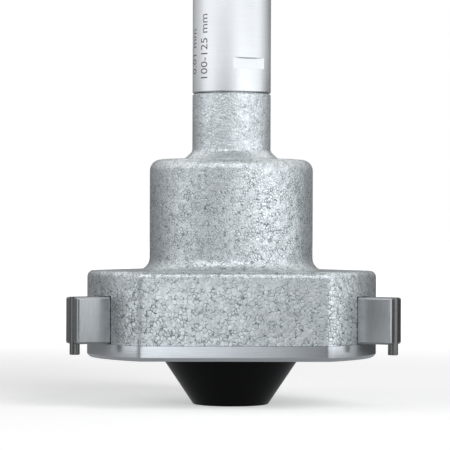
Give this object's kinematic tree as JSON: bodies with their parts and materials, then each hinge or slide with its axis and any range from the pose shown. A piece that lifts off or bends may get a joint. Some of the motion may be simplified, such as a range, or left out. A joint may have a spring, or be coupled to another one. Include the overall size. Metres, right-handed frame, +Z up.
{
  "type": "bore micrometer",
  "caption": "Bore micrometer for large holes: painted head with sliding square anvils and contact pins, tapered nose, scale sleeve, thimble and ratchet stop.",
  "frame": {"origin": "centre of the nose's flat foot, on the axis of the spindle", "axes": "+Z up the instrument from the nose to the ratchet, +Y towards the rear anvil, -Y out of the front flat of the head"},
  "size_m": [0.089, 0.081, 0.2144],
  "materials": {
    "hammertone_paint": "hammertone",
    "brushed_plate": "brushed",
    "black_plastic": "matte",
    "dark_screws": "blackened",
    "ground_steel": "ground",
    "satin_chrome": "satin",
    "bronze": "turned",
    "ground_anvil": "ground",
    "carbide": "lapped",
    "spring_steel": "drawn"
  },
  "bodies": {
    "head": {"head_housing": "hammertone_paint", "base_plate": "brushed_plate", "nose_cap": "black_plastic", "plate_screws": "dark_screws", "spring_posts": "ground_steel", "guide_rod": "ground_steel", "stem_tube": "ground_steel", "sleeve": "satin_chrome", "spindle_nut": "bronze", "adjusting_nut": "ground_steel", "return_spring_rear": "spring_steel", "return_spring_left": "spring_steel", "return_spring_right": "spring_steel"},
    "cone": {"measuring_cone": "ground_steel", "thrust_pad": "ground_steel", "retaining_ring": "ground_steel"},
    "spindle": {"spindle": "ground_steel", "thimble": "satin_chrome", "thimble_nut": "satin_chrome", "ratchet_driver": "ground_steel", "ratchet_screw": "ground_steel"},
    "ratchet": {"ratchet_knob": "satin_chrome", "ratchet_spring": "spring_steel"},
    "anvil_rear": {"anvil_rear": "ground_anvil", "contact_pin_rear": "carbide"},
    "anvil_left": {"anvil_left": "ground_anvil", "contact_pin_left": "carbide"},
    "anvil_right": {"anvil_right": "ground_anvil", "contact_pin_right": "carbide"}
  },
  "joints": [
    {"name": "cone_slide", "type": "slide", "parent": "head", "child": "cone", "axis": [0, 0, -1], "range_m": [0, 0.0125]},
    {"name": "thimble_spin", "type": "hinge", "parent": "cone", "child": "spindle", "pos_m": [0, 0, 0.17], "axis": [0, 0, -1], "range_deg": [0, 9000]},
    {"name": "ratchet_spin", "type": "hinge", "parent": "spindle", "child": "ratchet", "pos_m": [0, 0, 0.205], "axis": [0, 0, -1], "continuous": true},
    {"name": "anvil_slide_rear", "type": "slide", "parent": "head", "child": "anvil_rear", "axis": [0, 1, 0], "range_m": [0, 0.0125], "deforming": ["return_spring_rear"]},
    {"name": "anvil_slide_left", "type": "slide", "parent": "head", "child": "anvil_left", "axis": [-0.866, -0.5, 0], "range_m": [0, 0.0125], "deforming": ["return_spring_left"]},
    {"name": "anvil_slide_right", "type": "slide", "parent": "head", "child": "anvil_right", "axis": [0.866, -0.5, 0], "range_m": [0, 0.0125], "deforming": ["return_spring_right"]}
  ],
  "couplings": [
    {"joint": "thimble_spin", "follows": "cone_slide", "rad_per_m": 12566},
    {"joint": "anvil_slide_rear", "follows": "cone_slide", "ratio": 1},
    {"joint": "anvil_slide_left", "follows": "cone_slide", "ratio": 1},
    {"joint": "anvil_slide_right", "follows": "cone_slide", "ratio": 1}
  ]
}
